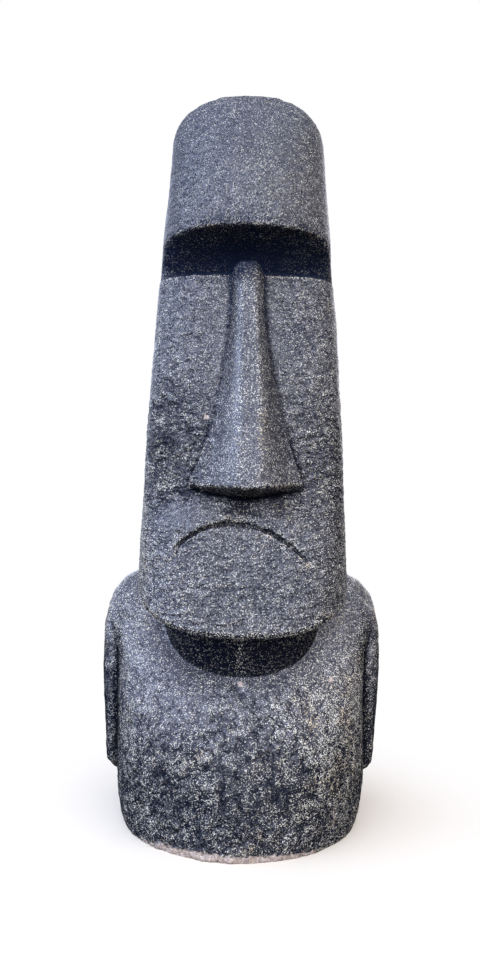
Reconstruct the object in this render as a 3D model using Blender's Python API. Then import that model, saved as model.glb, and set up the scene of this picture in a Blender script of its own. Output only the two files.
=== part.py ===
"""Moai head statue: a tall stone head on low shoulders, cast in one piece.

Metres, +Z up. The flat underside is on Z = 0 and the face looks along -Y.
The head, neck, torso, arms and nose are lofted one by one and joined into one solid.
"""

import math

import bmesh
import bpy

# Driving dimensions
HEIGHT = 1.000
AXIS_Y = 0.0069  # every y below is from an upright axis through the neck, this far behind the middle
COLUMNS = 60  # points round each ring of the head, neck and torso

# Torso: half width, front and back of its rings at each height
TORSO_TOP = 0.342
TORSO_HALF_WIDTH = ((0.0, 0.1590), (0.035, 0.1665), (0.08, 0.1690), (0.19, 0.1690), (0.235, 0.1760),
                    (0.260, 0.1880), (0.283, 0.1915), (0.303, 0.1860), (0.320, 0.1730), (0.332, 0.1570),
                    (0.342, 0.1320))
TORSO_FRONT = ((0.0, -0.1500), (0.03, -0.1525), (0.09, -0.1500), (0.13, -0.1410), (0.17, -0.1180),
               (0.21, -0.0860), (0.26, -0.0380), (0.31, 0.0060), (0.342, 0.0320))
TORSO_BACK = ((0.0, 0.1420), (0.04, 0.1460), (0.15, 0.1480), (0.24, 0.1420), (0.30, 0.1300),
              (0.325, 0.1160), (0.342, 0.0930))
TORSO_MIDDLE = ((0.0, 0.0), (0.15, 0.0), (0.30, 0.0600), (0.342, 0.0620))
TORSO_POWER = ((0.0, 1.88), (0.12, 2.10), (0.20, 2.60), (0.28, 3.00), (0.342, 3.00))
TORSO_LEVELS = 18

# Arms: flat slabs on the sides of the torso that end above the ground
ARM_BOTTOM = 0.060
ARM_TOP = 0.315
ARM_INSIDE = 0.100
ARM_OUTSIDE = ((0.06, 0.1865), (0.10, 0.1890), (0.16, 0.1930), (0.22, 0.1955), (0.26, 0.1955),
               (0.315, 0.1900))
ARM_FRONT = -0.012
ARM_BACK = 0.108
ARM_LEAN = 0.030  # how far the front edge runs back at the shoulder
ARM_BACK_LEAN = 0.030  # how far the back edge runs forward there
ARM_LEAN_START = 0.35  # share of the arm's height where both start to lean
ARM_LEAN_POWER = 1.5
ARM_END_SETBACK = 0.5  # share of the end's rounding that the front edge takes too
ARM_END_RADIUS = 0.021
SHOULDER_RADIUS = 0.050
ARM_EDGE_POWER = 4.2
ARM_COLUMNS = 24
ARM_LEVELS = 13

# Neck: a short upright post between torso and jaw
NECK_BOTTOM = 0.120
NECK_TOP = 0.330
NECK_HALF_WIDTH = 0.108
NECK_FRONT = -0.086
NECK_BACK = 0.070
NECK_POWER = 2.2

# Head: half width, front and back of its rings at each height
JAW_HEIGHT = 0.266  # lowest point of the jaw edge, under the chin
JAW_RISE = 0.060  # how much higher the jaw edge is at the sides
JAW_EDGE = 0.006  # rounding of the jaw edge
JAW_RISE_END = 0.430  # height where the rings are level again
JAW_UNDERCUT = 0.020  # how much higher the underside is near the neck
JAW_INNER_SHARE = 0.55  # size of the ring there, as a share of the jaw edge
CHEEK_TOP = 0.734
BROW_HEIGHT = 0.789
BROW_DROP = 0.010  # how much lower the brow edge is at the temples
BROW_FRONT = -0.108
SOCKET_FRONT = -0.032  # back wall of the eye sockets
CROWN_START = 0.915
CROWN_POWER = 2.5
CROWN_FRONT_START = 0.860  # the forehead rounds back earlier than the sides do
CROWN_APEX = 0.020  # how far back the highest point is
HEAD_HALF_WIDTH = ((0.30, 0.1430), (0.40, 0.1385), (0.52, 0.1335), (0.65, 0.1260), (0.78, 0.1170),
                   (0.91, 0.1060), (1.00, 0.1040))
FACE_FRONT = ((0.260, -0.1424), (0.300, -0.1348), (0.350, -0.1245), (0.41, -0.1100), (0.45, -0.1000),
              (0.50, -0.0945), (0.55, -0.0935), (0.60, -0.0885), (0.65, -0.0800), (0.734, -0.0660))
FOREHEAD_FRONT = ((0.789, -0.1080), (0.85, -0.0990), (0.92, -0.0870), (1.00, -0.0750))
HEAD_BACK = ((0.266, 0.0900), (0.45, 0.0920), (0.62, 0.0980), (0.78, 0.1030), (0.90, 0.1000),
             (1.00, 0.0950))
FACE_POWER = ((0.266, 3.0), (0.40, 3.4), (0.62, 3.4), (0.734, 2.8))
SOCKET_POWER = 2.4
FOREHEAD_POWER = 2.3
BACK_POWER = 2.5
FACE_LEVELS = 16
FACE_CROWDING = 1.2  # above 1, more of the levels lie near the jaw
FOREHEAD_LEVELS = 5
CROWN_LEVELS = 9
# Hollow under the brow: shares of its height, each with its share of the full depth
SOCKET_STEPS = ((0.05, 0.92), (0.20, 1.0), (0.40, 0.90), (0.58, 0.72), (0.74, 0.50), (0.89, 0.25))

# Nose: a long ridge that widens to flared wings over a bevelled underside
NOSE_OFFSET = ((0.45, 0.0025), (0.55, 0.0045), (0.65, 0.0030), (0.77, 0.0015))  # a little off centre
NOSE_TOP = 0.755
NOSE_TIP = 0.4520  # height of the rim under the tip
NOSE_WING_RISE = 0.0065  # how much higher the rim is at the wings
NOSE_UNDERSIDE = 0.014  # how far the underside drops towards the lip
NOSE_UNDERSIDE_THINNING = 0.35  # share of that drop lost at the wings
NOSE_UNDERSIDE_TAPER = 0.98
NOSE_LIP_BURIED = 0.004
NOSE_ROOT_HALF_WIDTH = 0.0208
NOSE_WING_HALF_WIDTH = 0.0725
NOSE_WIDENING = 2.3
NOSE_RIDGE = (0.006, 0.014)  # half the flat front of the ridge, at the root and at the tip
NOSE_RIDGE_SHIFT = 0.004  # how far that flat lies to the right of the middle, at the tip
NOSE_ROUNDING = (2.0, 1.35)  # shape of the slopes beside it at the root and at the tip
NOSE_FLARE = (0.8, 1.5)  # how hollow the side faces are at the root and at the tip
NOSE_ROOT_FRONT = -0.086
NOSE_TIP_FRONT = -0.162
NOSE_ROOT_RADIUS = 0.026  # the root rounds over into the eye sockets
NOSE_ROOT_NARROWING = 0.6  # share of that rounding taken off each side
NOSE_WING_THICKNESS = 0.014
NOSE_WING_SHARE = 0.22  # share of the nose's height over which the wings stand off the cheeks
NOSE_BURIED = 0.046
NOSE_LEVELS = 15
NOSE_STEPS = 10

# Mouth: one long groove that turns down at both ends
MOUTH_HEIGHT = 0.4085
MOUTH_APEX = -0.016
MOUTH_LEFT_REACH = 0.073
MOUTH_RIGHT_REACH = 0.102
MOUTH_LEFT_DROP = 0.034
MOUTH_RIGHT_DROP = 0.051
MOUTH_BEND = 2.2
MOUTH_DEPTH = 0.006
MOUTH_UPPER_LIP = 0.0035
MOUTH_LOWER_LIP = 0.006
MOUTH_END_SHARE = 0.02
MOUTH_STEPS = 28
CUTTER_REACH = 0.020  # how far the cutter stands out of the face

STONE_COLOUR = (0.055, 0.060, 0.075, 1.0)
STONE_ROUGHNESS = 0.75
SHARP_ANGLE = math.radians(35)


def clear_scene():
    for obj in list(bpy.data.objects):
        bpy.data.objects.remove(obj, do_unlink=True)


def stone_material():
    material = bpy.data.materials.new("cast_stone")
    material.use_nodes = True
    shader = material.node_tree.nodes["Principled BSDF"]
    shader.inputs["Base Color"].default_value = STONE_COLOUR
    shader.inputs["Roughness"].default_value = STONE_ROUGHNESS
    shader.inputs["Metallic"].default_value = 0.0
    return material


def mix(a, b, t):
    return a + (b - a) * t


def profile(stations, height):
    """The value at a height on a smooth curve through (height, value) stations."""
    if height <= stations[0][0]:
        return stations[0][1]
    if height >= stations[-1][0]:
        return stations[-1][1]
    slopes = []
    for index in range(len(stations)):
        low = stations[max(index - 1, 0)]
        high = stations[min(index + 1, len(stations) - 1)]
        slopes.append((high[1] - low[1]) / (high[0] - low[0]))
    for index in range(len(stations) - 1):
        (z0, v0), (z1, v1) = stations[index], stations[index + 1]
        if height <= z1:
            span = z1 - z0
            t = (height - z0) / span
            return (
                v0 * (1 + 2 * t) * (1 - t) ** 2
                + v1 * t * t * (3 - 2 * t)
                + slopes[index] * span * t * (1 - t) ** 2
                - slopes[index + 1] * span * t * t * (1 - t)
            )


def ring(half_width, front, back, middle, front_power, back_power, columns=COLUMNS):
    """Points (x, y) of a rounded outline, flat at the front and back for a high power."""
    points = []
    for column in range(columns):
        angle = 2 * math.pi * column / columns
        across, along = math.cos(angle), math.sin(angle)
        power = back_power if along > 0 else front_power
        reach = back - middle if along > 0 else middle - front
        x = math.copysign(abs(across) ** (2 / power), across) * half_width
        y = middle + math.copysign(abs(along) ** (2 / power), along) * reach
        points.append((x, y))
    return points


def loft(name, rings, apex=None):
    """A closed solid through rings of (x, y, z), listed upwards, all with the same number of points."""
    shape = bmesh.new()
    rows = [[shape.verts.new((x, y + AXIS_Y, z)) for x, y, z in points] for points in rings]
    count = len(rows[0])
    for low, high in zip(rows, rows[1:]):
        for column in range(count):
            after = (column + 1) % count
            shape.faces.new((low[column], low[after], high[after], high[column]))
    shape.faces.new(list(reversed(rows[0])))
    if apex is None:
        shape.faces.new(rows[-1])
    else:
        top = shape.verts.new((apex[0], apex[1] + AXIS_Y, apex[2]))
        for column in range(count):
            shape.faces.new((rows[-1][column], rows[-1][(column + 1) % count], top))
    bmesh.ops.triangulate(shape, faces=shape.faces)
    bmesh.ops.recalc_face_normals(shape, faces=shape.faces)
    mesh = bpy.data.meshes.new(name)
    shape.to_mesh(mesh)
    shape.free()
    mesh.shade_smooth()
    mesh.set_sharp_from_angle(angle=SHARP_ANGLE)
    obj = bpy.data.objects.new(name, mesh)
    bpy.context.scene.collection.objects.link(obj)
    return obj


def torso():
    rings = []
    for level in range(TORSO_LEVELS + 1):
        z = TORSO_TOP * level / TORSO_LEVELS
        outline = ring(
            profile(TORSO_HALF_WIDTH, z),
            profile(TORSO_FRONT, z),
            profile(TORSO_BACK, z),
            profile(TORSO_MIDDLE, z),
            profile(TORSO_POWER, z),
            profile(TORSO_POWER, z),
        )
        rings.append([(x, y, z) for x, y in outline])
    return loft("torso_form", rings)


def rounded_end(distance, radius):
    """How far a quarter-round edge is set back at a distance from its end."""
    if distance >= radius:
        return 0.0
    return radius - math.sqrt(radius**2 - (radius - distance) ** 2)


def arm(name, side):
    rings = []
    for level in range(ARM_LEVELS + 1):
        up = 0.5 - 0.5 * math.cos(math.pi * level / ARM_LEVELS)  # levels crowd at the rounded ends
        z = mix(ARM_BOTTOM, ARM_TOP, up)
        outside = profile(ARM_OUTSIDE, z) - rounded_end(z - ARM_BOTTOM, ARM_END_RADIUS)
        outside -= rounded_end(ARM_TOP - z, SHOULDER_RADIUS)
        half = (outside - ARM_INSIDE) / 2
        lean = (max(0.0, up - ARM_LEAN_START) / (1 - ARM_LEAN_START)) ** ARM_LEAN_POWER
        front = ARM_FRONT + ARM_LEAN * lean
        front += ARM_END_SETBACK * rounded_end(z - ARM_BOTTOM, ARM_END_RADIUS)
        back = ARM_BACK - ARM_BACK_LEAN * lean
        outline = ring(half, front, back, (front + back) / 2, ARM_EDGE_POWER, ARM_EDGE_POWER, ARM_COLUMNS)
        rings.append([(side * (x + ARM_INSIDE + half), y, z) for x, y in outline])
    return loft(name, rings)


def neck():
    outline = ring(NECK_HALF_WIDTH, NECK_FRONT, NECK_BACK, 0.0, NECK_POWER, NECK_POWER)
    return loft("neck_form", [[(x, y, z) for x, y in outline] for z in (NECK_BOTTOM, NECK_TOP)])


def crown(z, start):
    """How much of its reach a ring keeps in the dome of the crown, which starts at a height."""
    if z <= start:
        return 1.0
    climb = (z - start) / (HEIGHT - start)
    return max(0.0, 1 - climb**CROWN_POWER) ** (1 / CROWN_POWER)


def head_half_width(z):
    return profile(HEAD_HALF_WIDTH, z) * crown(z, CROWN_START)


def face_depth(x, z):
    """Y of the face below the brow, without the nose, at a place on it."""
    across = min(abs(x) / head_half_width(z), 1.0)
    power = profile(FACE_POWER, z)
    return profile(FACE_FRONT, z) * (1 - across**power) ** (1 / power)


def head_ring(level, rise, front, front_power, keep=1.0):
    """One ring of the head: level in the middle, and higher or lower by rise at the sides."""
    half_width = head_half_width(level + rise) * keep
    middle = CROWN_APEX * max(0.0, level - CROWN_START) / (HEIGHT - CROWN_START)
    back = mix(middle, profile(HEAD_BACK, level), crown(level, CROWN_START) * keep)
    points = []
    for x, y in ring(half_width, front * keep, back, middle, front_power, BACK_POWER):
        across = abs(x) / half_width
        points.append((x, y, level + rise * (1 - math.sqrt(max(0.0, 1 - across**2)))))
    return points


def head():
    jaw_front = profile(FACE_FRONT, JAW_HEIGHT)
    jaw_power = profile(FACE_POWER, JAW_HEIGHT)
    rings = [head_ring(JAW_HEIGHT + JAW_UNDERCUT, JAW_RISE, jaw_front, jaw_power, JAW_INNER_SHARE)]
    rings.append(head_ring(JAW_HEIGHT, JAW_RISE, jaw_front + JAW_EDGE, jaw_power))
    for index in range(FACE_LEVELS + 1):
        share = (index / FACE_LEVELS) ** FACE_CROWDING
        level = mix(JAW_HEIGHT + JAW_EDGE, CHEEK_TOP, share)
        rise = JAW_RISE * max(0.0, 1 - (level - JAW_HEIGHT) / (JAW_RISE_END - JAW_HEIGHT))
        rings.append(head_ring(level, rise, profile(FACE_FRONT, level), profile(FACE_POWER, level)))
    for share, inward in SOCKET_STEPS:
        front = mix(BROW_FRONT, SOCKET_FRONT, inward)
        level = mix(CHEEK_TOP, BROW_HEIGHT, share)
        rings.append(head_ring(level, -BROW_DROP * share, front, SOCKET_POWER))
    for index in range(FOREHEAD_LEVELS + 1):
        t = index / FOREHEAD_LEVELS
        level = mix(BROW_HEIGHT, CROWN_START, t)
        front = profile(FOREHEAD_FRONT, level) * crown(level, CROWN_FRONT_START)
        rings.append(head_ring(level, -BROW_DROP * (1 - t), front, FOREHEAD_POWER))
    for index in range(1, CROWN_LEVELS):
        level = mix(CROWN_START, HEIGHT, math.sin(0.5 * math.pi * index / CROWN_LEVELS))
        middle = CROWN_APEX * (level - CROWN_START) / (HEIGHT - CROWN_START)
        front = mix(middle, profile(FOREHEAD_FRONT, level), crown(level, CROWN_FRONT_START))
        rings.append(head_ring(level, 0.0, front, FOREHEAD_POWER))
    return loft("head_form", rings, apex=(0.0, CROWN_APEX, HEIGHT))


def nose():
    rings = []
    for level in range(NOSE_LEVELS + 1):
        up = math.sin(0.5 * math.pi * level / NOSE_LEVELS)  # levels crowd at the rounded root
        z = mix(NOSE_TIP, NOSE_TOP, up)
        down = 1 - up
        setback = rounded_end(NOSE_TOP - z, NOSE_ROOT_RADIUS)
        half = mix(NOSE_ROOT_HALF_WIDTH, NOSE_WING_HALF_WIDTH, down**NOSE_WIDENING)
        half -= setback * NOSE_ROOT_NARROWING
        front = mix(NOSE_ROOT_FRONT, NOSE_TIP_FRONT, down) + setback
        wing = NOSE_WING_THICKNESS * max(0.0, 1 - up / NOSE_WING_SHARE)
        rings.append(nose_section(z, half, front, wing, down))
    underside = []
    for x, y, z in rings[0]:
        inside = face_depth(x, z) + NOSE_LIP_BURIED
        drop = NOSE_UNDERSIDE * (1 - NOSE_UNDERSIDE_THINNING * min(1.0, abs(x) / NOSE_WING_HALF_WIDTH))
        underside.append((x * NOSE_UNDERSIDE_TAPER, max(y, inside), z - drop))
    return loft("nose_form", [underside] + rings)


def nose_section(z, half, front, wing, down):
    """Points across the nose at one height, from the left crease over the ridge to the right one."""
    rounding = mix(*NOSE_ROUNDING, down)
    flare = mix(*NOSE_FLARE, down)
    ridge = mix(*NOSE_RIDGE, down)
    shift = NOSE_RIDGE_SHIFT * down
    offset = profile(NOSE_OFFSET, z)
    points = []
    for step in range(-NOSE_STEPS, NOSE_STEPS + 1):
        share = step / NOSE_STEPS
        x = half * share
        beside = max(0.0, abs(x - shift) - ridge) / (half - ridge - math.copysign(shift, x))
        y = mix(face_depth(x, z) - wing, front, (1 - min(1.0, beside) ** rounding) ** flare)
        points.append((x + offset, y, z + NOSE_WING_RISE * abs(share) * down))
    right, left = points[-1], points[0]
    points.append((right[0], face_depth(half, z) + NOSE_BURIED, right[2]))
    points.append((left[0], face_depth(half, z) + NOSE_BURIED, left[2]))
    return points


def mouth_cutter():
    sections = []
    for step in range(MOUTH_STEPS + 1):
        along = mix(-1.0, 1.0, step / MOUTH_STEPS)
        reach = MOUTH_LEFT_REACH if along < 0 else MOUTH_RIGHT_REACH
        drop = MOUTH_LEFT_DROP if along < 0 else MOUTH_RIGHT_DROP
        x = MOUTH_APEX + along * reach
        z = MOUTH_HEIGHT - drop * abs(along) ** MOUTH_BEND
        fade = math.sqrt(max(MOUTH_END_SHARE, 1 - along**4))  # the groove runs out at both corners
        skin = face_depth(x, z)
        lower = z - MOUTH_LOWER_LIP * fade
        upper = z + MOUTH_UPPER_LIP * fade
        sections.append([
            (x, skin + MOUTH_DEPTH * fade, z),
            (x, face_depth(x, lower), lower),
            (x, skin - CUTTER_REACH, lower),
            (x, skin - CUTTER_REACH, upper),
            (x, face_depth(x, upper), upper),
        ])
    return loft("mouth_cutter", sections)


def add_boolean(target, helper, operation):
    modifier = target.modifiers.new(helper.name, "BOOLEAN")
    modifier.operation = operation
    modifier.solver = "EXACT"
    modifier.object = helper
    helper.hide_render = True
    helper.display_type = "WIRE"


def statue():
    body = torso()
    body.name = "moai_statue"
    for helper in (neck(), head(), arm("arm_left_form", -1), arm("arm_right_form", 1), nose()):
        add_boolean(body, helper, "UNION")
    add_boolean(body, mouth_cutter(), "DIFFERENCE")
    body.data.materials.append(stone_material())


clear_scene()
statue()
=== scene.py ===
import math

import bmesh
import bpy
import numpy as np
from mathutils import Matrix, noise


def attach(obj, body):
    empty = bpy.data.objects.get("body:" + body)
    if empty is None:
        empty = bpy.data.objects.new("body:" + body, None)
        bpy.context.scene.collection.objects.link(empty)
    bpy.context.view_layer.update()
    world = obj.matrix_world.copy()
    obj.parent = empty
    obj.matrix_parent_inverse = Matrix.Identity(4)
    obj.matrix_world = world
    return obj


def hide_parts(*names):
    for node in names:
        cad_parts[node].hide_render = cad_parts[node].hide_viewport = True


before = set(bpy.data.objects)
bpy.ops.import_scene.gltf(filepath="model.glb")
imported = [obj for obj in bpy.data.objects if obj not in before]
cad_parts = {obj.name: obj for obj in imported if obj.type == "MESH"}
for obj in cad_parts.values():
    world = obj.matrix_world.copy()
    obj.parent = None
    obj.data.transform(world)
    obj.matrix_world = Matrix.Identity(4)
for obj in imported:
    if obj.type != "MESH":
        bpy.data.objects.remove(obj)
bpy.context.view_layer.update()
scene = bpy.context.scene
print("frame loaded")


# Camera: in front of the statue at chest height, tipped up a touch

view = {
    "place": (-0.0052, -1.1431, 0.451),
    "lens": 30.94,  # mm on a 36 mm film
    "tiltUp": 0.694,  # degrees
    "roll": 0.80,
}

camera = bpy.data.objects.new("camera", bpy.data.cameras.new("camera"))
scene.collection.objects.link(camera)
camera.data.lens = view["lens"]
camera.data.sensor_width = 36
camera.location = view["place"]
tilt = Matrix.Rotation(math.radians(90 + view["tiltUp"]), 4, "X")
camera.rotation_euler = (tilt @ Matrix.Rotation(math.radians(view["roll"]), 4, "Z")).to_euler()
scene.camera = camera


# Node and colour helpers


def linear(hexColour):
    channels = []
    for start in (1, 3, 5):
        value = int(hexColour[start:start + 2], 16) / 255
        channels.append(value / 12.92 if value <= 0.04045 else ((value + 0.055) / 1.055) ** 2.4)
    return (*channels, 1.0)


def addNode(tree, kind, links=None, inputs=None, **settings):
    node = tree.nodes.new(kind)
    for name, value in settings.items():
        setattr(node, name, value)
    for socket, value in (inputs or {}).items():
        node.inputs[socket].default_value = value
    for socket, source in (links or {}).items():
        tree.links.new(source, node.inputs[socket])
    return node


def perMetre(sizeMm):  # texture scale for a pattern of that size
    return 1000.0 / sizeMm


def newMaterial(name):
    material = bpy.data.materials.new(name)
    material.use_nodes = True
    return material, material.node_tree, material.node_tree.nodes["Principled BSDF"]


# Masonry paint on cast stone: an anthracite coat, brushed on and then dry-brushed with cream.
# The coat is nearly black and takes a broad dull shine from the sky. The cream catches on single
# grains of sand, so it reads as fine salt on pepper, thicker on the crests.

# Shade and top light are also painted into this colour and shine: the painted shade, the painted blue
# shade, and the dust with painted top light.
paint = {
    "coat": "#080b15",
    "coatWorn": "#1c2230",  # where the coat is thin, in patches
    "patchMm": 55.0,
    "dustAndTopLight": "#48484f",  # dust and chalking on the crests that face up, and painted top light there
    "dustAndTopLightOn": (0.62, 0.76),
    "fleck": "#e2ddc8",
    "fleckWarm": "#dccba4",  # here and there the cream is yellower, most where it is thick
    "warmMm": 38.0,
    "warmFrom": (0.56, 0.74),
    "warmOnCream": 0.8,
    "paintedBlueShade": "#212d45",  # painted shade: a bluish darkening over the painted shade above 0.6 m, full under the brow
    "paintedBlueShadeShare": 0.55,
    "paintedBlueShadeFrom": (0.60, 0.74),  # height at which it starts, and is full
    "body": "#c8b4a2",  # the bare cast stone where the paint has rubbed off
    "bodyDirt": "#93867b",
    "dirtMm": 3.0,
    "dirtFrom": (0.35, 0.60),
    "rubbedMm": 7.0,  # how ragged the edge of the bare places is
    "rubbedFrom": (0.35, 0.60),
    # the cream's flecks, each on one grain of sand
    "fleckMm": 1.0,
    "fleckFrom": (0.80, 1.0),  # a grain's chance at which a fleck starts, and is full
    "creamOnCrests": 0.035,
    "creamOnLumps": 0.13,
    # fewer flecks in the creases: painted shade
    "paintedCreaseShadeOnCream": 1.5,
    "clusterMm": 7.5,  # flecks gather in clusters and drifts where the surface is rough
    "clusterShare": 0.62,
    "driftMm": 28.0,
    "driftShare": 0.6,
    "clustersFrom": 0.55,
    # the coat's shine
    "ior": 1.62,
    "roughness": 0.27,
    "fleckRoughness": 0.85,
    "shine": (0.02, 1.1),  # in the hollows and pores, and on the crests
    "shineFrom": (0.35, 0.60),
    "shineByGrain": 0.26,
    "shineOnLumps": 0.18,
    "shineOnCrests": 0.05,
    "poreMm": 1.4,
    # what the painted shade takes from the flecks, the thinness of the coat and the shine
    "paintedShadeOnFlecks": 0.72,
    "paintedShadeOnCoat": 0.8,
    "paintedShadeOnShine": 0.5,
    # painted shade in the creases: darker coat and less shine
    "paintedCreaseShade": 6.0,
    "creaseSpread": 3,
    # bumps finer than the mesh: folds between small lumps, and sand
    "foldMm": 16.0,
    "foldWidth": 0.16,
    "foldSharpness": 0.65,
    "foldLevel": 0.55,
    "foldHeightMm": 1.6,
    "foldsShow": (0.2, 1.3),  # hammering at which the folds start to show, and are full
    "foldsTurn": (1.35, 1.75),  # and at which they turn over and stand up as crests
    "grainMm": 1.7,
    "grainHeightMm": 1.5,
    "rippleFrom": (0.25, 1.25),  # heights between which patterns are squeezed to lie across the face
}


def paintedCastStone():
    material, tree, shader = newMaterial("dryBrushedMasonryPaint")
    place = addNode(tree, "ShaderNodeTexCoord").outputs["Object"]

    def pattern(sizeMm, detail=2.0, where=place):
        return addNode(tree, "ShaderNodeTexNoise", {"Vector": where},
                       {"Scale": perMetre(sizeMm), "Detail": detail, "Roughness": 0.6}).outputs["Fac"]

    def surface(name):  # a value that makeStatue() leaves on the mesh
        return addNode(tree, "ShaderNodeAttribute", attribute_name=name).outputs["Fac"]

    def joined(operation, first, second):
        return addNode(tree, "ShaderNodeMath", {0: first, 1: second}, operation=operation).outputs[0]

    def added(first, second):
        return joined("ADD", first, second)

    def times(first, second):
        return joined("MULTIPLY", first, second)

    def scaled(value, factor, offset=0.0):
        return addNode(tree, "ShaderNodeMath", {0: value}, {1: factor, 2: offset},
                       operation="MULTIPLY_ADD").outputs[0]

    def centred(value, share):  # a pattern about nought
        return scaled(value, share, -0.5 * share)

    def ramp(value, between, to=(0.0, 1.0)):
        return addNode(tree, "ShaderNodeMapRange", {"Value": value},
                       {"From Min": between[0], "From Max": between[1],
                        "To Min": to[0], "To Max": to[1]}).outputs["Result"]

    def blend(factor, first, second):
        node = addNode(tree, "ShaderNodeMix", {"Factor": factor}, data_type="RGBA")
        for name, colour in (("A", first), ("B", second)):
            socket = next(s for s in node.inputs if s.name == name and s.type == "RGBA")
            if isinstance(colour, str):
                socket.default_value = linear(colour)
            else:
                tree.links.new(colour, socket)
        return next(s for s in node.outputs if s.type == "RGBA")

    hammered, paintedShade = surface("hammered"), surface("paintedShade")

    # the place, stretched upward over the head
    height = addNode(tree, "ShaderNodeSeparateXYZ", {"Vector": place}).outputs["Z"]
    lift = addNode(tree, "ShaderNodeCombineXYZ", {"Z": ramp(height, paint["rippleFrom"])})
    lying = addNode(tree, "ShaderNodeVectorMath", {0: place, 1: lift.outputs["Vector"]},
                    operation="ADD").outputs["Vector"]

    # small lumps with folds between them, turned over where the hammering is deepest
    apart = centred(pattern(paint["foldMm"], 1.5, lying), 1.0)
    apart = addNode(tree, "ShaderNodeMath", {0: apart}, operation="ABSOLUTE").outputs[0]
    lump = addNode(tree, "ShaderNodeMath", {0: ramp(apart, (0.0, paint["foldWidth"]))},
                   {1: paint["foldSharpness"]}, operation="POWER").outputs[0]
    turn = ramp(hammered, paint["foldsTurn"], (1.0, -1.0))
    lump = times(scaled(lump, 1.0, -paint["foldLevel"]), turn)
    lump = times(lump, ramp(hammered, paint["foldsShow"]))

    # each grain has its own chance of a fleck and its own shine
    grains = addNode(tree, "ShaderNodeTexVoronoi", {"Vector": place}, {"Scale": perMetre(paint["fleckMm"])})
    chances = addNode(tree, "ShaderNodeSeparateColor", {"Color": grains.outputs["Color"]}).outputs
    amount = added(chances["Red"], surface("cream"))
    clusters = centred(pattern(paint["clusterMm"]), paint["clusterShare"])
    clusters = added(clusters, centred(pattern(paint["driftMm"], 3.0), paint["driftShare"]))
    amount = added(amount, times(clusters, scaled(hammered, 1.0, -paint["clustersFrom"])))
    amount = added(amount, scaled(lump, paint["creamOnLumps"]))
    # painted shade dims the flecks
    fleck = times(ramp(amount, paint["fleckFrom"]), scaled(paintedShade, -paint["paintedShadeOnFlecks"], 1.0))

    # coat, then dust with painted top light, cream, painted blue shade, and what has rubbed off
    # thin patches of coat, and a darker coat in the painted shade
    thin = added(pattern(paint["patchMm"], 4.0), scaled(paintedShade, -paint["paintedShadeOnCoat"]))
    coat = blend(thin, paint["coat"], paint["coatWorn"])
    # dust and painted top light on what faces up, none in the painted shade
    dustAndTopLightMask = times(surface("dustAndTopLight"), scaled(paintedShade, -1.0, 1.0))
    # only on the crests, so the pits stay dark: painted shade in the pits
    crests = ramp(added(scaled(lump, 0.2, 0.5), scaled(pattern(paint["grainMm"]), 0.4)), paint["dustAndTopLightOn"])
    coat = blend(times(dustAndTopLightMask, crests), coat, paint["dustAndTopLight"])
    warm = added(pattern(paint["warmMm"]), scaled(surface("cream"), paint["warmOnCream"]))
    cream = blend(ramp(warm, paint["warmFrom"]), paint["fleck"], paint["fleckWarm"])
    painted = blend(fleck, coat, cream)
    # painted blue shade, high up in the painted shade
    paintedBlueShade = times(paintedShade, ramp(height, paint["paintedBlueShadeFrom"]))
    painted = blend(scaled(paintedBlueShade, paint["paintedBlueShadeShare"]), painted, paint["paintedBlueShade"])
    rubbed = added(surface("rubbed"), centred(pattern(paint["rubbedMm"], 3.0), 1.0))
    bare = blend(ramp(pattern(paint["dirtMm"]), paint["dirtFrom"]), paint["bodyDirt"], paint["body"])
    colour = blend(ramp(rubbed, paint["rubbedFrom"]), painted, bare)
    tree.links.new(colour, shader.inputs["Base Color"])

    # cream is chalky, and the coat shines except in its pores and folds
    rough = ramp(fleck, (0.0, 1.0), (paint["roughness"], paint["fleckRoughness"]))
    tree.links.new(rough, shader.inputs["Roughness"])
    pores = added(pattern(paint["poreMm"], where=lying), centred(chances["Green"], paint["shineByGrain"]))
    pores = added(pores, scaled(lump, paint["shineOnLumps"]))
    pores = added(pores, scaled(surface("crest"), paint["shineOnCrests"]))
    # painted shade dulls the shine
    pores = added(pores, scaled(paintedShade, -paint["paintedShadeOnShine"]))
    shine = ramp(pores, paint["shineFrom"], paint["shine"])
    tree.links.new(shine, shader.inputs["Specular IOR Level"])
    shader.inputs["IOR"].default_value = paint["ior"]

    coarse = addNode(tree, "ShaderNodeBump", {"Height": times(lump, hammered)},
                     {"Strength": 1.0, "Distance": paint["foldHeightMm"] / 1000})
    sand = times(pattern(paint["grainMm"]), hammered)
    fine = addNode(tree, "ShaderNodeBump", {"Height": sand, "Normal": coarse.outputs["Normal"]},
                   {"Strength": 1.0, "Distance": paint["grainHeightMm"] / 1000})
    tree.links.new(fine.outputs["Normal"], shader.inputs["Normal"])
    return material


# The casting

statue = {
    "voxel": 0.0019,  # spacing of the first mesh
    "rounding": 1,  # smoothing passes; the cast edges are about 3 mm round
    "hammering": 0.75,  # strength of the relief on the front, away from the rough places
    "behind": 0.45,  # share of it that the back has
    "frontFrom": (0.06, 0.01),  # y at which the front's relief starts, and is full
    "facesUp": (0.08, 0.68),  # upward part of the normal at which dust and painted top light start, and are full
    "triangles": 195000,
}

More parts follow.
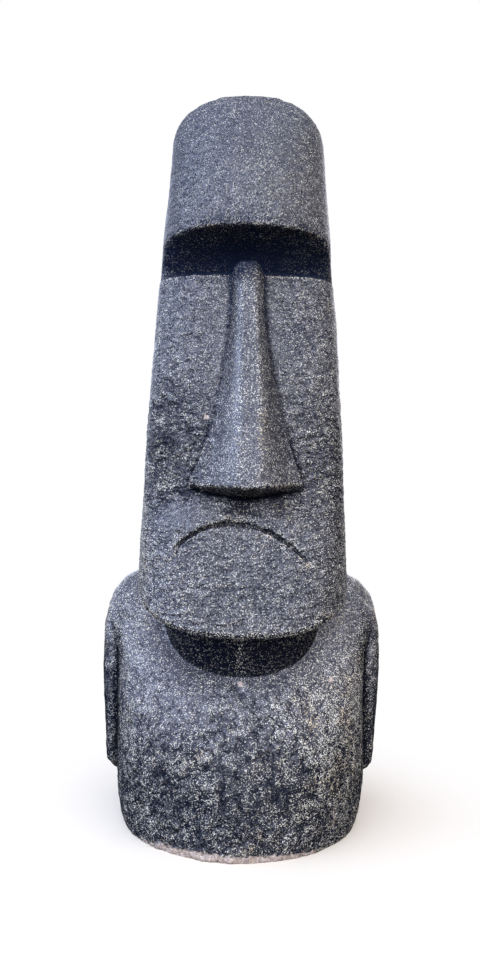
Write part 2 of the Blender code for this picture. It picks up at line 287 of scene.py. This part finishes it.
relief = {
    "handMm": (75, 32),  # unevenness left by the hand that made the mould
    "handDepth": (0.0012, 0.0006),
    "lumpMm": (24, 12),  # soft lumps with thin creases between them
    "lumpDepth": (0.0030, 0.0020),
    "ridgeMm": (12, 6.5),  # thin crests round the hollows, where the hammering is deep
    "ridgeDepth": (0.0034, 0.0020),
    "grainMm": 4.5,
    "grainDepth": 0.00025,
    "foldPower": 0.65,  # under 1, the fold between two lumps is sharp
    "foldMiddle": 0.35,
    "bendMm": 18,  # the folds wander by this much, at this size
    "bendDepth": 0.0035,
    "bendSeed": 1,  # any whole number above 0, so that each run bends them alike
    "rippleFrom": 0.25,  # above this height the lumps are squeezed to lie across the face
    "deepest": 1.2,  # strength above which the lumps grow no more
    "smoothSides": 0.6,  # share of the lumps that the sides lack
}

# how much rougher the front is, round a place on it: x, z, reach across, reach up, strength
roughPlaces = (
    (-0.105, 0.50, 0.045, 0.075, 1.15),  # hollow of the left cheek
    (0.10, 0.50, 0.05, 0.07, 0.35),  # right cheek
    (0.00, 0.33, 0.12, 0.06, 0.13),  # chin
    (0.00, 0.08, 0.20, 0.09, 0.8),  # belly
    (0.00, 0.90, 0.12, 0.10, -0.35),  # forehead
    (0.00, 0.60, 0.035, 0.15, -0.6),  # nose
    (0.00, 0.262, 0.13, 0.014, -0.5),  # under edge of the jaw
    (-0.08, 0.66, 0.05, 0.06, 0.04),  # upper cheeks
    (0.08, 0.67, 0.05, 0.06, 0.14),
    (-0.085, 0.42, 0.03, 0.02, -0.5),  # beside the lip
    (-0.06, 0.19, 0.04, 0.03, -0.4),  # top of the chest
    (0.0, 0.238, 0.12, 0.026, -0.80),  # neck
    (0.0, 0.762, 0.16, 0.022, -0.55),  # eye sockets
    (0.03, 0.17, 0.10, 0.03, 0.25),  # chest
    (-0.165, 0.265, 0.03, 0.04, -0.1),  # shoulders
    (0.155, 0.265, 0.04, 0.04, 0.2),
)

# where the cream lies thicker or thinner, in the same way; some entries are painted shade and some painted
# light, as marked
creamAndPaintedLightPlaces = (
    (0.00, 0.446, 0.070, 0.008, -0.04),  # under the nose, painted shade
    (0.12, 0.17, 0.06, 0.07, 0.11),  # right side of the chest
    (0.12, 0.08, 0.05, 0.05, 0.05),  # and of the belly
    (0.00, 0.10, 0.05, 0.06, -0.04),  # middle of the belly
    (-0.09, 0.88, 0.05, 0.12, -0.03),  # left side of the face
    (-0.09, 0.60, 0.05, 0.30, -0.02),
    (0.00, 0.60, 0.20, 0.35, -0.04),  # all of the face
    (-0.001, 0.235, 0.005, 0.018, 0.15),  # casting seam down the neck
    (0.00, 0.764, 0.16, 0.024, -0.03),  # eye sockets, painted shade
    (0.00, 0.240, 0.12, 0.020, -0.05),  # neck, painted shade
    (0.01, 0.190, 0.05, 0.008, -0.06),  # just below the collar, painted shade
    (-0.135, 0.37, 0.015, 0.09, 0.10),  # down the edge of the jaw
    (0.015, 0.87, 0.012, 0.012, 0.06),  # a thick patch on the forehead
    (-0.006, 0.53, 0.016, 0.09, 0.02),  # ridge of the nose
    (-0.19, 0.16, 0.02, 0.12, -0.09),  # arms, painted shade
    (0.19, 0.16, 0.02, 0.12, -0.10),
    (0.030, 0.393, 0.016, 0.003, 0.18),  # rim of the lower lip, painted highlight
    (0.053, 0.380, 0.012, 0.003, 0.18),
    (0.070, 0.367, 0.010, 0.003, 0.16),
    (0.080, 0.359, 0.006, 0.003, 0.30),
    (0.054, 0.88, 0.012, 0.07, -0.03),  # a barer band down the forehead
    (-0.087, 0.418, 0.03, 0.018, -0.10),  # beside the lip
    (0.00, 0.91, 0.13, 0.11, -0.05),  # forehead and crown
    (-0.165, 0.265, 0.03, 0.04, 0.06),  # left shoulder, painted top light
    (-0.10, 0.33, 0.04, 0.05, 0.03),  # chin
    (0.00, 0.33, 0.09, 0.05, -0.02),
    (-0.065, 0.195, 0.05, 0.025, -0.02),  # top of the chest
)

# painted shade: fewer, dimmer flecks, a darker coat and less shine in the sockets, under the nose, on the
# lip, arms, belly and right edge of the face; negative on the seam
paintedShadePlaces = (
    (0.0, 0.764, 0.16, 0.024, 0.9),  # eye sockets
    (-0.002, 0.738, 0.02, 0.018, 0.40),  # root of the nose
    (-0.095, 0.87, 0.03, 0.10, 0.10),  # left side of the forehead
    (0.00, 0.446, 0.052, 0.008, 0.35),  # under the nose
    (-0.003, 0.427, 0.020, 0.011, 0.6),  # upper lip
    (0.045, 0.431, 0.035, 0.012, 0.28),
    (0.128, 0.47, 0.012, 0.09, 0.36),  # right edge of the face
    (0.00, 0.075, 0.25, 0.060, 0.22),  # belly
    (-0.105, 0.50, 0.045, 0.075, 0.08),  # hollow of the cheek
    (-0.19, 0.15, 0.025, 0.11, 0.27),  # arms
    (0.19, 0.15, 0.020, 0.11, 0.08),
    (-0.001, 0.235, 0.006, 0.022, -0.55),  # casting seam down the neck
    (-0.169, 0.16, 0.006, 0.09, 0.8),  # grooves of the arms
    (0.169, 0.16, 0.006, 0.09, 0.8),
)

# where the paint has rubbed off down to the cast body
rubbedPlaces = (
    (-0.05, 0.002, 0.080, 0.010, 0.95),  # bottom edge
    (0.05, 0.003, 0.07, 0.005, 0.6),
    (-0.001, 0.235, 0.004, 0.02, 0.30),  # casting seam down the neck
    (-0.001, 0.203, 0.006, 0.005, 0.75),  # knocks on the chest and the cheek
    (0.117, 0.206, 0.004, 0.004, 1.0),
    (-0.050, 0.544, 0.004, 0.004, 1.0),
    (0.120, 0.04, 0.003, 0.03, 0.55),  # runs down the belly
)

# the mouth's groove, cut square under the upper lip and running out over the lower one
mouth = {
    "middle": (-0.016, 0.4085),  # x and z of its highest point
    "reach": (0.073, 0.102),  # from there to the left and the right corner
    "drop": (0.034, 0.051),
    "bend": 2.2,
    "depth": 0.0055,
    "wall": 0.0010,  # height of the steep side, under the upper lip
    "slope": 0.0055,  # and of the side that runs out over the lower one
    "rim": 0.0014,
    "rimWidth": 0.002,
    "band": (-0.012, 0.004),  # the strip round the groove that gets finer faces
}

# painted shade on the neck under the jaw, up to the sharp line of the collar
neck = {
    "halfWidth": 0.125,
    "depth": (-0.095, 0.02),
    "height": (0.195, 0.30),
    "upright": (0.42, 0.22),  # upward part of the normal where the collar ends, and the neck starts
}


def applyModifiers(piece):
    graph = bpy.context.evaluated_depsgraph_get()
    mesh = bpy.data.meshes.new_from_object(piece.evaluated_get(graph))
    piece.modifiers.clear()
    piece.data = mesh


def wave(point, sizeMm):
    return noise.noise(point * perMetre(sizeMm))


def spread(places, point, start=0.0):  # sum of soft spots on the front
    total = start
    if point.y < 0.02:
        for x, z, across, up, more in places:
            away = ((point.x - x) / across) ** 2 + ((point.z - z) / up) ** 2
            if away < 9:
                total += more * math.exp(-away)
    return total


def overMouth(point):  # share of the way to the mouth's corner, height over the upper lip's edge
    middleX, middleZ = mouth["middle"]
    side = 0 if point.x < middleX else 1
    along = (point.x - middleX) / mouth["reach"][side]
    return along, point.z - middleZ + mouth["drop"][side] * abs(along) ** mouth["bend"]


def nearMouth(point):
    along, above = overMouth(point)
    low, high = mouth["band"]
    return abs(along) < 1.02 and point.y < -0.05 and low < above < high


def grooveAt(point):
    if not nearMouth(point):
        return 0.0
    along, above = overMouth(point)
    fade = math.sqrt(max(0.0, 1.04 - along ** 4))
    if above > 0:
        cut = max(0.0, 1 - above / mouth["wall"])
    else:
        cut = max(0.0, 1 + above / mouth["slope"]) ** 1.3
    rim = mouth["rim"] * math.exp(-((above + mouth["slope"]) / mouth["rimWidth"]) ** 2)
    return rim - mouth["depth"] * fade * cut


def folds(point, kind):  # round lumps with a sharp fold between them
    return sum(depth * (abs(wave(point, size)) ** relief["foldPower"] - relief["foldMiddle"])
               for size, depth in zip(relief[kind + "Mm"], relief[kind + "Depth"]))


def reliefAt(point, strength, sideShare):  # height of the surface there, and how far it is a crest
    height = 0.0
    for size, depth in zip(relief["handMm"], relief["handDepth"]):
        height += depth * wave(point, size)
    bent = point + noise.noise_vector(point * perMetre(relief["bendMm"])) * relief["bendDepth"]
    bent.z += max(0.0, point.z - relief["rippleFrom"])
    lumps = min(relief["deepest"], strength) * folds(bent, "lump")
    crest = lumps / relief["lumpDepth"][0] * 3
    height += sideShare * lumps
    if strength > 1:
        bent.x += 1.0  # another part of the noise
        ridges = -(strength - 1) * folds(bent, "ridge")
        height += ridges
        crest += ridges / relief["ridgeDepth"][0] * 5
    height += relief["grainDepth"] * wave(point, relief["grainMm"])
    return height, crest


def setValues(mesh, name, values):
    attribute = mesh.attributes.new(name, "FLOAT", "POINT")
    attribute.data.foreach_set("value", values)


def splitMouthFaces(mesh):  # twice as fine where the mouth is cut
    work = bmesh.new()
    work.from_mesh(mesh)
    edges = [edge for edge in work.edges if nearMouth((edge.verts[0].co + edge.verts[1].co) / 2)]
    bmesh.ops.subdivide_edges(work, edges=edges, cuts=1, use_grid_fill=True)
    bmesh.ops.triangulate(work, faces=[face for face in work.faces if len(face.verts) > 4])
    work.to_mesh(mesh)
    work.free()


def share(value, start, end):  # 0 at the start, 1 at the end
    return min(1.0, max(0.0, (value - start) / (end - start)))


# painted shade at a point: the listed places, the neck under the jaw and the creases
def paintedShadeAt(vertex, into):
    paintedShadeSum = spread(paintedShadePlaces, vertex.co)
    x, y, z = vertex.co
    front, back = neck["depth"]
    low, high = neck["height"]
    # painted shade on the neck, ending sharply at the collar
    if abs(x) < neck["halfWidth"] and front < y < back and low < z < high:
        paintedShadeSum += share(vertex.normal.z, *neck["upright"])
    else:
        # painted shade in the creases
        paintedShadeSum += paint["paintedCreaseShade"] * max(0.0, into)
    return min(1.0, max(0.0, paintedShadeSum))


def hollowAt(mesh):  # how hollow the casting is round each point, negative on its edges
    points, normals = np.empty(len(mesh.vertices) * 3), np.empty(len(mesh.vertices) * 3)
    ends = np.empty(len(mesh.edges) * 2, np.int32)
    mesh.vertices.foreach_get("co", points)
    mesh.vertices.foreach_get("normal", normals)
    mesh.edges.foreach_get("vertices", ends)
    points, normals, ends = points.reshape(-1, 3), normals.reshape(-1, 3), ends.reshape(-1, 2)
    neighbours = np.bincount(ends.ravel(), minlength=len(points))

    def average(values):
        total = np.bincount(ends[:, 0], values[ends[:, 1]], len(values))
        total += np.bincount(ends[:, 1], values[ends[:, 0]], len(values))
        return total / neighbours

    middle = np.stack([average(points[:, axis]) for axis in range(3)], axis=1)
    hollow = ((middle - points) * normals).sum(axis=1) / statue["voxel"]
    for _ in range(paint["creaseSpread"]):
        hollow = 0.5 * (hollow + average(hollow))
    return hollow


def makeStatue():
    piece = bpy.data.objects.new("moaiCasting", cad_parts["moai_statue"].data.copy())
    scene.collection.objects.link(piece)
    piece.data.materials.clear()
    remesh = piece.modifiers.new("even mesh", "REMESH")
    remesh.mode = "VOXEL"
    remesh.voxel_size = statue["voxel"]
    smooth = piece.modifiers.new("cast edges", "SMOOTH")
    smooth.iterations = statue["rounding"]
    applyModifiers(piece)
    mesh = piece.data
    splitMouthFaces(mesh)
    print("mesh", len(mesh.vertices), "points")

    hollow = hollowAt(mesh)
    noise.seed_set(relief["bendSeed"])
    values = {name: [] for name in ("hammered", "crest", "dustAndTopLight", "cream", "rubbed", "paintedShade")}
    moved = []
    for vertex, into in zip(mesh.vertices, hollow):
        front = share(vertex.co.y, *statue["frontFrom"])
        strength = spread(roughPlaces, vertex.co,
                          statue["hammering"] * (front + (1 - front) * statue["behind"]))
        height, crest = reliefAt(vertex.co, strength, 1 - relief["smoothSides"] * vertex.normal.x ** 4)
        place = vertex.co + vertex.normal * (height + grooveAt(vertex.co))
        if vertex.co.z < 0.004 and vertex.normal.z < -0.8:  # the underside stays flat
            place = vertex.co.copy()
        place.z = max(place.z, 0.0)
        moved.append(place)
        # more cream on the crests, and fewer flecks in the creases as painted shade
        cream = paint["creamOnCrests"] * crest - paint["paintedCreaseShadeOnCream"] * into
        values["hammered"].append(strength)
        values["crest"].append(crest)
        values["dustAndTopLight"].append(share(vertex.normal.z, *statue["facesUp"]))
        values["cream"].append(spread(creamAndPaintedLightPlaces, vertex.co, cream))
        values["rubbed"].append(spread(rubbedPlaces, vertex.co))
        values["paintedShade"].append(paintedShadeAt(vertex, into))
    for vertex, place in zip(mesh.vertices, moved):
        vertex.co = place
    for name, numbers in values.items():
        setValues(mesh, name, numbers)
    print("relief")

    total = 2 * len(mesh.polygons)
    thin = piece.modifiers.new("fewer faces where smooth", "DECIMATE")
    thin.ratio = min(1.0, statue["triangles"] / total)
    applyModifiers(piece)
    piece.data.shade_smooth()
    piece.data.materials.clear()
    piece.data.materials.append(paintedCastStone())
    piece.data.calc_loop_triangles()
    print("thinned from", total, "to", len(piece.data.loop_triangles), "triangles")
    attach(piece, "root")
    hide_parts("moai_statue")


makeStatue()


# Studio: a room whose walls are one soft light, brightest low in front, and a floor that fades to white

studio = {
    "floor": "#fbf0d8",
    "floorSize": 60,
    "fade": (0.18, 0.50),  # distance at which the floor starts to fade, and is white
    "strength": 2.4,
    # brightness of the room at so many degrees above the horizon
    "bands": ((-90, 0.12), (-45, 0.06), (-25, 0.02), (-9, 0.03), (-2, 0.35), (5, 2.2), (15, 2.3),
              (32, 1.18), (50, 0.44), (66, 1.5), (90, 0.06)),
    # from the left side, at -1, to the right one; overhead the sides count for less
    "sides": ((-1.0, 1.45), (-0.5, 1.10), (0.0, 1.0), (0.5, 0.76), (0.8, 0.45), (1.0, 0.26)),
    "sidesLostOverhead": 0.55,
    # from the front, at -1, to the back
    "away": ((-0.25, 1.0), (0.55, 0.16), (0.78, 0.26), (1.0, 0.75)),
    "awayTurn": 0.1,  # the dim part lies a little to the right
    "leftColour": "#ccdbff",  # also overhead
    "rightColour": "#fff5f2",
    "blueOverhead": 1.07,
    "colourFrom": (-1.36, 1.07),
}


def lightRoom():
    world = bpy.data.worlds.new("studio room")
    world.use_nodes = True
    tree = world.node_tree
    background = tree.nodes["Background"]
    toward = addNode(tree, "ShaderNodeTexCoord").outputs["Generated"]
    axes = addNode(tree, "ShaderNodeSeparateXYZ", {"Vector": toward}).outputs
    across, depth, up = axes["X"], axes["Y"], axes["Z"]

    def ramp(value, stops):  # brightness at each stop, from -1 to 1
        place = addNode(tree, "ShaderNodeMapRange", {"Value": value}, {"From Min": -1.0, "From Max": 1.0})
        node = addNode(tree, "ShaderNodeValToRGB", {"Fac": place.outputs["Result"]})
        while len(node.color_ramp.elements) < len(stops):
            node.color_ramp.elements.new(0.5)
        for element, (where, power) in zip(node.color_ramp.elements, stops):
            element.position = 0.5 + 0.5 * where
            element.color = (power, power, power, 1)
        return node.outputs["Color"]

    def combined(first, second, operation, factor=1.0):
        part = addNode(tree, "ShaderNodeMath", {0: second}, {1: factor}, operation="MULTIPLY").outputs[0]
        return addNode(tree, "ShaderNodeMath", {0: first, 1: part}, operation=operation).outputs[0]

    power = ramp(up, [(math.sin(math.radians(degrees)), level) for degrees, level in studio["bands"]])
    side = combined(across, combined(across, up, "MULTIPLY"), "SUBTRACT", studio["sidesLostOverhead"])
    power = combined(power, ramp(side, studio["sides"]), "MULTIPLY")
    away = combined(depth, across, "ADD", studio["awayTurn"])
    power = combined(power, ramp(away, studio["away"]), "MULTIPLY", studio["strength"])
    tree.links.new(power, background.inputs["Strength"])

    blueToRed = combined(across, up, "SUBTRACT", studio["blueOverhead"])
    low, high = studio["colourFrom"]
    warmth = addNode(tree, "ShaderNodeMapRange", {"Value": blueToRed}, {"From Min": low, "From Max": high})
    colour = addNode(tree, "ShaderNodeMix", {"Factor": warmth.outputs["Result"]}, data_type="RGBA")
    colour.inputs[6].default_value = linear(studio["leftColour"])
    colour.inputs[7].default_value = linear(studio["rightColour"])
    tree.links.new(colour.outputs[2], background.inputs["Color"])

    # the camera sees plain white behind the statue
    white = addNode(tree, "ShaderNodeBackground", None, {"Color": (1, 1, 1, 1)})
    seen = addNode(tree, "ShaderNodeLightPath").outputs["Is Camera Ray"]
    mixed = addNode(tree, "ShaderNodeMixShader", {0: seen, 1: background.outputs[0], 2: white.outputs[0]})
    tree.links.new(mixed.outputs[0], tree.nodes["World Output"].inputs["Surface"])
    scene.world = world


def paleFloor():
    material, tree, shader = newMaterial("paleStudioFloor")
    shader.inputs["Base Color"].default_value = linear(studio["floor"])
    shader.inputs["Roughness"].default_value = 0.9
    place = addNode(tree, "ShaderNodeTexCoord").outputs["Object"]
    distance = addNode(tree, "ShaderNodeVectorMath", {0: place}, operation="LENGTH").outputs["Value"]
    near, far = studio["fade"]
    fade = addNode(tree, "ShaderNodeMapRange", {"Value": distance}, {"From Min": near, "From Max": far},
                   interpolation_type="SMOOTHSTEP").outputs["Result"]
    glow = addNode(tree, "ShaderNodeEmission", None, {"Color": (1, 1, 1, 1), "Strength": 1.0})
    mixed = addNode(tree, "ShaderNodeMixShader", {0: fade, 1: shader.outputs["BSDF"],
                                                   2: glow.outputs["Emission"]})
    tree.links.new(mixed.outputs["Shader"], tree.nodes["Material Output"].inputs["Surface"])
    return material


def layFloor():
    mesh = bpy.data.meshes.new("floor")
    reach = studio["floorSize"] / 2
    corners = [(-reach, -reach, 0), (reach, -reach, 0), (reach, reach, 0), (-reach, reach, 0)]
    mesh.from_pydata(corners, [], [(0, 1, 2, 3)])
    mesh.materials.append(paleFloor())
    floor = bpy.data.objects.new("floor", mesh)
    scene.collection.objects.link(floor)
    floor.visible_diffuse = False  # it throws no light up under the brow and the jaw
    floor.visible_glossy = False
    return floor


lightRoom()
scene.view_settings.view_transform = "Standard"
floor = layFloor()
print("studio")
